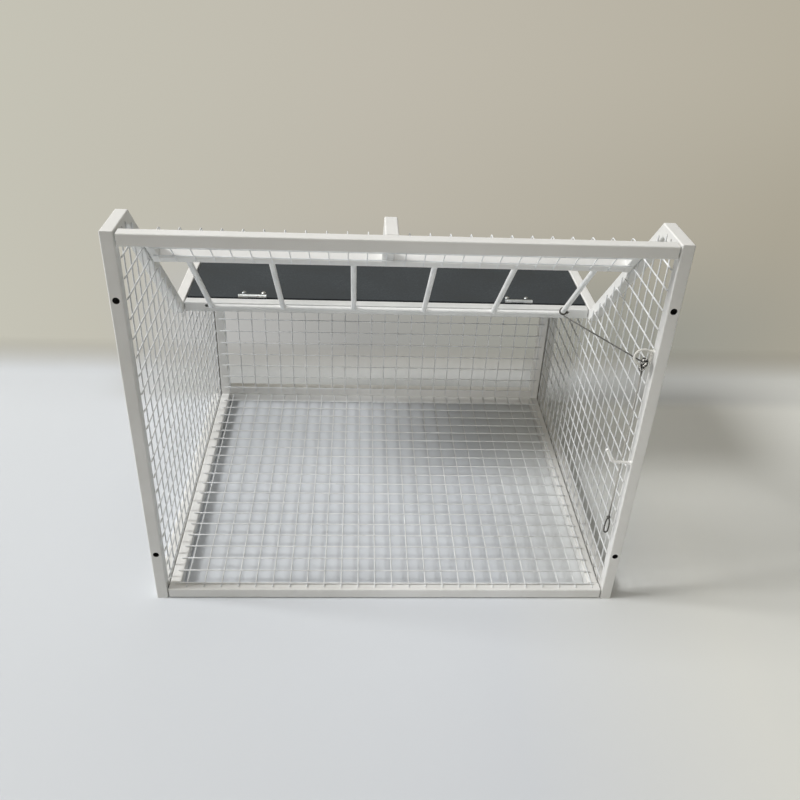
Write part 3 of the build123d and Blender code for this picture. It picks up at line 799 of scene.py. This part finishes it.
def mattPaper(look):
    material, tree, shader, place = newFinish("mattPaper")
    masks = spansAlong(tree, place, look["spans"])
    wide = node(tree, "ShaderNodeMath", {0: masks["fromLeft"], 1: masks["fromRight"]}, operation="MULTIPLY")
    # the floor is painted lighter and warmer to the right, as painted light
    ground = node(tree, "ShaderNodeValToRGB", {"Fac": masks["across"]}, stops=(
        (0.0, look["floorLeft"]), (0.6, look["floorMiddle"]), (0.8, look["floorRight"])))
    # painted shadow on the floor strip just behind the cage
    shadowStrip = node(tree, "ShaderNodeMath", {0: wide, 1: masks["shadowStrip"]}, operation="MULTIPLY")
    shaded = node(tree, "ShaderNodeMixRGB", {
        "Fac": shadowStrip, "Color1": ground, "Color2": hexColor(look["floorShadow"])})
    tint = node(tree, "ShaderNodeMixRGB", {
        "Fac": masks["wall"], "Color1": shaded, "Color2": hexColor(look["wall"])})
    wired(tree, shader, {
        "Base Color": tint, "Roughness": look["rough"], "Specular IOR Level": look["shine"]})
    # the wall's glow is painted dimmer to the right, and darker low down than high up, as painted shade
    seen = node(tree, "ShaderNodeValToRGB", {"Fac": masks["across"]}, stops=(
        (0.0, look["seenLeft"]), (0.5, look["seenMiddle"]), (1.0, look["seenRight"])))
    high = node(tree, "ShaderNodeValToRGB", {"Fac": masks["across"]}, stops=(
        (0.0, look["highLeft"]), (0.5, look["highMiddle"]), (1.0, look["highRight"])))
    # painted shadow of the cage on the foot of the wall, darker towards the right
    behind = node(tree, "ShaderNodeValToRGB", {"Fac": masks["cage"]}, stops=(
        (0.0, look["wallShadowLeft"]), (0.45, look["wallShadowMiddle"]), (1.0, look["wallShadowRight"])))
    clearWall = node(tree, "ShaderNodeMixRGB", {"Fac": masks["high"], "Color1": seen, "Color2": high})
    shadowPatch = node(tree, "ShaderNodeMath", {0: wide, 1: masks["foot"]}, operation="MULTIPLY")
    wall = node(tree, "ShaderNodeMixRGB", {"Fac": shadowPatch, "Color1": clearWall, "Color2": behind})
    glow = node(tree, "ShaderNodeEmission", {"Color": wall})
    # the wall glows only where the camera sees it, straight, mirrored or through something clear
    path = node(tree, "ShaderNodeLightPath", {})
    direct = node(tree, "ShaderNodeMath", {
        0: path.outputs["Is Camera Ray"], 1: path.outputs["Is Glossy Ray"]}, operation="ADD")
    through = node(tree, "ShaderNodeMath", {
        0: direct, 1: path.outputs["Is Transmission Ray"]}, operation="ADD", use_clamp=True)
    share = node(tree, "ShaderNodeMath", {0: through, 1: masks["wall"]}, operation="MULTIPLY")
    paper = node(tree, "ShaderNodeMixShader", {0: share, 1: shader, 2: glow})
    # open from behind, so that the back views look through the wall
    clear = node(tree, "ShaderNodeBsdfTransparent", {})
    side = node(tree, "ShaderNodeNewGeometry", {}).outputs["Backfacing"]
    mix = node(tree, "ShaderNodeMixShader", {0: side, 1: paper, 2: clear})
    wired(tree, tree.nodes["Material Output"], {"Surface": mix})
    return material


def buildBackdrop(at):
    clearSelection()
    bpy.ops.mesh.primitive_plane_add(size=1.0, location=(0, (at["wallY"] + at["nearY"]) / 2, 0))
    piece = named("paperSweep")
    piece.scale = (2 * at["reach"], at["wallY"] - at["nearY"], 1)
    settle(piece)

    def alongCorner(edge):
        ends = [piece.data.vertices[v].co for v in edge.vertices]
        return all(c.y > at["wallY"] - at["near"] and c.z < at["near"] for c in ends)

    # the floor's far edge is pulled up to a wall, and the corner between them rounded
    editSome(piece, piece.data.edges, alongCorner)
    bpy.ops.mesh.select_mode(type="EDGE")
    bpy.ops.mesh.extrude_region_move(TRANSFORM_OT_translate={"value": (0, 0, at["high"])})
    bpy.ops.object.mode_set(mode="OBJECT")
    editSome(piece, piece.data.edges, alongCorner)
    bpy.ops.mesh.bevel(offset=at["cove"], segments=at["coveSteps"], affect="EDGES")
    facedOutwards(piece)
    if max(piece.data.polygons, key=lambda face: face.area).normal.dot(Vector((0, -1, 1))) < 0:
        editAll(piece)
        bpy.ops.mesh.flip_normals()
        bpy.ops.object.mode_set(mode="OBJECT")
    smoothed(piece, at["smooth"])
    piece.data.materials.append(mattPaper(paperLook))
    return piece


buildBackdrop(backdrop)

lamps = {
    "softKey": {"place": (-7.10, -0.34, 5.90), "target": (0, 0, 0.25), "size": 2.8, "power": 700.0},
    "softTop": {"place": (-0.3, -0.5, 3.2), "target": (0, 0, 0.2), "size": 1.8, "power": 24.0},
    "softFront": {
        "place": (-0.8, -3.4, 2.5), "target": (0, 0, 0.2), "size": 2.2, "power": 12.0, "tint": "#FFE9BE"},
    # reaches through the open front to the back panel
    "griddedInside": {
        "place": (0.0, -2.4, 1.05), "target": (0.1, 0.25, 0.03), "size": 0.3, "power": 0.18,
        "spread": 18.0},
}
air = {"tint": "#FDFBF4", "strength": 0.075}


def lamp(name, place, target, size, power, tint="#FFFFFF", spread=180.0):
    data = bpy.data.lights.new(name, "AREA")
    data.shape = "DISK"
    data.size = size
    data.energy = power
    data.color = hexColor(tint)[:3]
    data.spread = math.radians(spread)
    holder = bpy.data.objects.new(name, data)
    bpy.context.scene.collection.objects.link(holder)
    holder.location = place
    holder.rotation_euler = (Vector(target) - Vector(place)).to_track_quat("-Z", "Y").to_euler()


for name, settings in lamps.items():
    lamp(name, **settings)
world = bpy.data.worlds.new("studio")
world.use_nodes = True
wired(world.node_tree, world.node_tree.nodes["Background"], {
    "Color": hexColor(air["tint"]), "Strength": air["strength"]})
bpy.context.scene.world = world

view = {
    "place": (-0.0494, -1.1532, 0.9011), "lens": 37.278, "sensor": 36.0,
    "down": 32.25, "aside": -3.57, "roll": 2.70,
}
cameraData = bpy.data.cameras.new("photoCamera")
cameraData.lens = view["lens"]
cameraData.sensor_width = view["sensor"]
camera = bpy.data.objects.new("photoCamera", cameraData)
bpy.context.scene.collection.objects.link(camera)
camera.matrix_world = (
    Matrix.Translation(view["place"])
    @ Matrix.Rotation(math.radians(view["aside"]), 4, "Z")
    @ Matrix.Rotation(math.radians(90 - view["down"]), 4, "X")
    @ Matrix.Rotation(math.radians(view["roll"]), 4, "Z")
)
bpy.context.scene.camera = camera
bpy.context.scene.view_settings.view_transform = "Standard"
print("backdrop, light and camera set")

bpy.context.view_layer.update()
